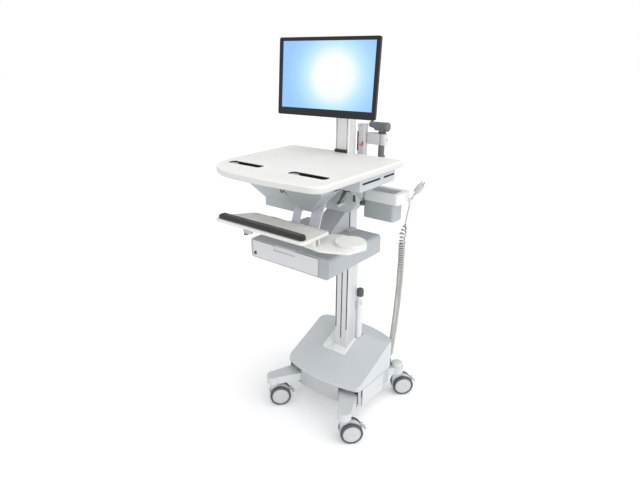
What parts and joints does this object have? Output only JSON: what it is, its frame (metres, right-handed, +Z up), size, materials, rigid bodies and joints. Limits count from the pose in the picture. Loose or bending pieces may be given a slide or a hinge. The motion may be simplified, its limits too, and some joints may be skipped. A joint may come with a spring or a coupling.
{
  "type": "medication cart",
  "caption": "Height-adjustable medical workstation cart with a display on a mast, worktop, keyboard tray, drawer, side bin and coiled power cord.",
  "frame": {"origin": "floor point under the middle of the cart's outer box, cord left out", "axes": "+Z up, +Y to the back, +X to the right as seen from the front"},
  "size_m": [0.6329, 0.8355, 1.6495],
  "materials": {
    "tyre": "dark grey rubber",
    "caster_plastic": "light grey moulded plastic",
    "pedal_plastic": "mid grey moulded plastic",
    "base_paint": "light grey powder coat",
    "base_plastic": "cool grey moulded plastic",
    "skirt_plastic": "grey moulded plastic",
    "white_plastic": "near-white moulded plastic",
    "battery_case": "black moulded plastic",
    "column_metal": "silver-grey anodised extrusion",
    "inner_metal": "grey anodised extrusion",
    "guide_plastic": "dark grey low-friction plastic",
    "steel": "bright steel",
    "worktop_white": "off-white moulded top, fine grain",
    "grip_black": "charcoal plastic",
    "lever_grey": "pale grey plastic",
    "bay_plastic": "blue-grey moulded plastic",
    "tub_plastic": "blue-grey moulded plastic",
    "arm_paint": "pale lavender-grey paint",
    "drawer_plastic": "blue-grey paint",
    "drawer_face": "light grey moulded plastic",
    "tray_white": "near-white moulded plastic",
    "palm_black": "black soft foam skin",
    "mast_metal": "silver-grey anodised extrusion",
    "mount_paint": "light grey paint",
    "display_back": "dark grey moulded plastic",
    "display_bezel": "black moulded plastic",
    "display_glass": "lit blue screen",
    "bin_grey": "grey moulded plastic",
    "rim_lavender": "pale grey moulded plastic",
    "cord_jacket": "beige-grey flexible jacket",
    "plug_grey": "pale grey moulded plug",
    "lock_metal": "bright metal"
  },
  "bodies": {
    "base": {"base_frame": "base_paint", "base_cover": "base_plastic", "base_skirt": "skirt_plastic", "battery_door": "white_plastic", "battery_pack": "battery_case", "power_module": "battery_case", "column_foot_plate": "white_plastic", "column_outer": "column_metal", "column_guides": "guide_plastic", "rear_duct": "column_metal", "cord_gland": "guide_plastic", "lift_cylinder": "steel", "cord_coil": "cord_jacket"},
    "head": {"inner_column": "inner_metal", "lift_rod": "steel", "head_frame": "bay_plastic", "worktop": "worktop_white", "grip_liners": "grip_black", "tech_bay": "bay_plastic", "under_cover": "tub_plastic", "tray_arms": "arm_paint", "drawer_hanger": "arm_paint", "drawer_housing": "drawer_plastic", "mast": "mast_metal", "handle_bracket": "bay_plastic", "rear_handle": "bay_plastic", "storage_bin": "bin_grey", "bin_rim": "rim_lavender", "cord_lead": "cord_jacket", "power_plug": "plug_grey"},
    "levers": {"release_levers": "lever_grey"},
    "drawer": {"drawer_box": "bin_grey", "drawer_front": "drawer_face"},
    "lock": {"drawer_lock": "lock_metal"},
    "keyboard": {"keyboard_tray": "tray_white", "palm_rest": "palm_black"},
    "mouse": {"mouse_tray": "tray_white"},
    "carriage": {"mast_carriage": "mount_paint"},
    "pan": {"pan_yoke": "mount_paint"},
    "tilt": {"tilt_block": "mount_paint"},
    "display": {"mount_plate": "mount_paint", "monitor_shell": "display_back", "monitor_bezel": "display_bezel", "screen_panel": "display_glass"},
    "caster_fl": {"caster_fl_housing": "caster_plastic"},
    "wheels_fl": {"caster_fl_tyres": "tyre", "caster_fl_hubs": "caster_plastic"},
    "pedal_fl": {"caster_fl_pedal": "pedal_plastic"},
    "caster_fr": {"caster_fr_housing": "caster_plastic"},
    "wheels_fr": {"caster_fr_tyres": "tyre", "caster_fr_hubs": "caster_plastic"},
    "pedal_fr": {"caster_fr_pedal": "pedal_plastic"},
    "caster_rl": {"caster_rl_housing": "caster_plastic"},
    "wheels_rl": {"caster_rl_tyres": "tyre", "caster_rl_hubs": "caster_plastic"},
    "pedal_rl": {"caster_rl_pedal": "pedal_plastic"},
    "caster_rr": {"caster_rr_housing": "caster_plastic"},
    "wheels_rr": {"caster_rr_tyres": "tyre", "caster_rr_hubs": "caster_plastic"},
    "pedal_rr": {"caster_rr_pedal": "pedal_plastic"}
  },
  "joints": [
    {"name": "swivel_fl", "type": "hinge", "parent": "base", "child": "caster_fl", "pos_m": [-0.2368, -0.1048, 0.11], "axis": [0, 0, 1], "continuous": true},
    {"name": "roll_fl", "type": "hinge", "parent": "caster_fl", "child": "wheels_fl", "pos_m": [-0.21596, -0.08322, 0.05], "axis": [-0.7193, 0.6947, 0], "continuous": true},
    {"name": "brake_fl", "type": "hinge", "parent": "caster_fl", "child": "pedal_fl", "pos_m": [-0.18192, -0.04797, 0.07497], "axis": [-0.7193, 0.6947, 0], "range_deg": [0, 12]},
    {"name": "swivel_fr", "type": "hinge", "parent": "base", "child": "caster_fr", "pos_m": [0.1732, -0.1048, 0.11], "axis": [0, 0, 1], "continuous": true},
    {"name": "roll_fr", "type": "hinge", "parent": "caster_fr", "child": "wheels_fr", "pos_m": [0.19404, -0.08322, 0.05], "axis": [-0.7193, 0.6947, 0], "continuous": true},
    {"name": "brake_fr", "type": "hinge", "parent": "caster_fr", "child": "pedal_fr", "pos_m": [0.22808, -0.04797, 0.07497], "axis": [-0.7193, 0.6947, 0], "range_deg": [0, 12]},
    {"name": "swivel_rl", "type": "hinge", "parent": "base", "child": "caster_rl", "pos_m": [-0.2368, 0.3392, 0.11], "axis": [0, 0, 1], "continuous": true},
    {"name": "roll_rl", "type": "hinge", "parent": "caster_rl", "child": "wheels_rl", "pos_m": [-0.21596, 0.36078, 0.05], "axis": [-0.7193, 0.6947, 0], "continuous": true},
    {"name": "brake_rl", "type": "hinge", "parent": "caster_rl", "child": "pedal_rl", "pos_m": [-0.18192, 0.39603, 0.07497], "axis": [-0.7193, 0.6947, 0], "range_deg": [0, 12]},
    {"name": "swivel_rr", "type": "hinge", "parent": "base", "child": "caster_rr", "pos_m": [0.1732, 0.3392, 0.11], "axis": [0, 0, 1], "continuous": true},
    {"name": "roll_rr", "type": "hinge", "parent": "caster_rr", "child": "wheels_rr", "pos_m": [0.19404, 0.36078, 0.05], "axis": [-0.7193, 0.6947, 0], "continuous": true},
    {"name": "brake_rr", "type": "hinge", "parent": "caster_rr", "child": "pedal_rr", "pos_m": [0.22808, 0.39603, 0.07497], "axis": [-0.7193, 0.6947, 0], "range_deg": [0, 12]},
    {"name": "lift", "type": "slide", "parent": "base", "child": "head", "axis": [0, 0, 1], "range_m": [-0.34, 0.09], "deforming": ["cord_coil"]},
    {"name": "lever_squeeze", "type": "hinge", "parent": "head", "child": "levers", "pos_m": [-0.0318, -0.2798, 1.196], "axis": [1, 0, 0], "range_deg": [0, 10], "stiffness_Nm_per_rad": 0.3},
    {"name": "drawer_slide", "type": "slide", "parent": "head", "child": "drawer", "axis": [0, -1, 0], "range_m": [0, 0.26]},
    {"name": "drawer_key", "type": "hinge", "parent": "drawer", "child": "lock", "pos_m": [-0.2018, -0.2268, 0.829], "axis": [0, -1, 0], "range_deg": [0, 90]},
    {"name": "keyboard_tilt", "type": "hinge", "parent": "head", "child": "keyboard", "pos_m": [-0.0288, -0.2408, 1.001], "axis": [1, 0, 0], "range_deg": [-5, 12]},
    {"name": "mouse_slide", "type": "slide", "parent": "keyboard", "child": "mouse", "axis": [1, 0, 0], "range_m": [-0.07, 0]},
    {"name": "display_height", "type": "slide", "parent": "head", "child": "carriage", "axis": [0, 0, 1], "range_m": [-0.12, 0.005]},
    {"name": "display_pan", "type": "hinge", "parent": "carriage", "child": "pan", "pos_m": [-0.0318, 0.0972, 1.517], "axis": [0, 0, 1], "range_deg": [-30, 30]},
    {"name": "display_tilt", "type": "hinge", "parent": "pan", "child": "tilt", "pos_m": [-0.03008, 0.07828, 1.517], "axis": [0.9959, 0.0906, 0], "range_deg": [-15, 10]},
    {"name": "display_rotate", "type": "hinge", "parent": "tilt", "child": "display", "pos_m": [-0.03008, 0.07828, 1.517], "axis": [0.0904, -0.9931, 0.075], "range_deg": [0, 90]}
  ]
}
